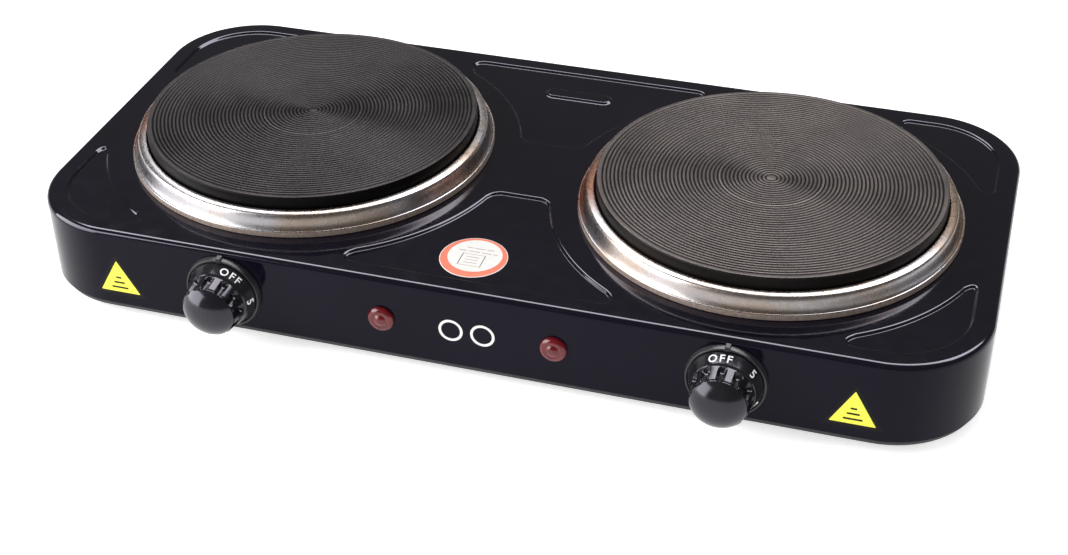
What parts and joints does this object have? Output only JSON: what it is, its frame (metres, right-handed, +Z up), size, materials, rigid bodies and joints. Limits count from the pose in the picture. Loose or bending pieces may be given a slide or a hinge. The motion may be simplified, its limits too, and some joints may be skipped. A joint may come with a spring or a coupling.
{
  "type": "double electric hot plate",
  "caption": "Low rounded-rectangle enamelled housing with round grooved cast-iron heating plates in bright trim rings, dial knobs and red pilot lamps along the front wall.",
  "frame": {"origin": "under the middle of the whole object, knobs and cord gland included, at the height the feet stand on", "axes": "+X to the right along the front, -Y out of the front wall with the knobs, +Z up"},
  "size_m": [0.512, 0.2746, 0.0745],
  "materials": {
    "black_enamel": "glossy vitreous enamel",
    "pan_paint": "satin black paint",
    "cast_iron": "machined and heat-blackened",
    "polished_steel": "polished stainless, heat-tinted",
    "knob_black": "glossy with white dial print",
    "bezel_black": "satin",
    "lamp_red": "translucent red",
    "neon_glass": "clear",
    "foot_rubber": "matt",
    "coil_metal": "oxidised",
    "coil_cement": "rough",
    "tin_plate": "rolled",
    "zinc_steel": "zinc plated",
    "spring_steel": "blued",
    "steatite": "unglazed",
    "contact_brass": "rolled",
    "gland_black": "moulded",
    "strip_nylon": "moulded",
    "lead_brown": "braided glass sleeve",
    "lead_white": "braided glass sleeve",
    "lead_blue": "braided glass sleeve",
    "lead_earth": "striped",
    "warning_film": "printed film",
    "round_film": "printed film",
    "emblem_print": "printed"
  },
  "bodies": {
    "housing": {"base_pan": "pan_paint", "bezel_left": "bezel_black", "bezel_right": "bezel_black", "bridge_nuts": "zinc_steel", "bridge_washers": "zinc_steel", "bushing_nuts": "zinc_steel", "coil_cement_left": "coil_cement", "coil_cement_right": "coil_cement", "contact_blades_left": "contact_brass", "contact_blades_right": "contact_brass", "cord_gland": "gland_black", "earth_lead": "lead_earth", "earth_nut": "zinc_steel", "earth_screw": "zinc_steel", "earth_tag": "contact_brass", "foot_nuts": "zinc_steel", "foot_screws": "zinc_steel", "front_emblem": "emblem_print", "heating_coil_left": "coil_metal", "heating_coil_right": "coil_metal", "hot_labels": "warning_film", "hotplate_left": "cast_iron", "hotplate_right": "cast_iron", "lamp_clips": "spring_steel", "lamp_leads": "lead_white", "lamp_lens_left": "lamp_red", "lamp_lens_right": "lamp_red", "neon_lamps": "neon_glass", "pan_screws": "zinc_steel", "plate_bridge_left": "zinc_steel", "plate_bridge_right": "zinc_steel", "plate_cover_left": "tin_plate", "plate_cover_right": "tin_plate", "plate_stud_left": "zinc_steel", "plate_stud_right": "zinc_steel", "return_leads": "lead_blue", "round_label": "round_film", "rubber_feet": "foot_rubber", "screw_posts": "zinc_steel", "stack_rivets": "zinc_steel", "supply_leads": "lead_brown", "terminal_block_left": "steatite", "terminal_block_right": "steatite", "terminal_screws": "contact_brass", "terminal_strip": "strip_nylon", "thermostat_frame_left": "zinc_steel", "thermostat_frame_right": "zinc_steel", "thermostat_leads": "lead_white", "thermostat_stack_left": "steatite", "thermostat_stack_right": "steatite", "top_shell": "black_enamel", "trim_ring_left": "polished_steel", "trim_ring_right": "polished_steel"},
    "left_control": {"knob_left": "knob_black", "spindle_left": "zinc_steel", "knob_clip_left": "spring_steel"},
    "right_control": {"knob_right": "knob_black", "spindle_right": "zinc_steel", "knob_clip_right": "spring_steel"}
  },
  "joints": [
    {"name": "left_knob_turn", "type": "hinge", "parent": "housing", "child": "left_control", "pos_m": [-0.134, -0.11025, 0.031], "axis": [0, 1, 0], "range_deg": [-28, 272]},
    {"name": "right_knob_turn", "type": "hinge", "parent": "housing", "child": "right_control", "pos_m": [0.134, -0.11025, 0.031], "axis": [0, 1, 0], "range_deg": [0, 300]}
  ]
}
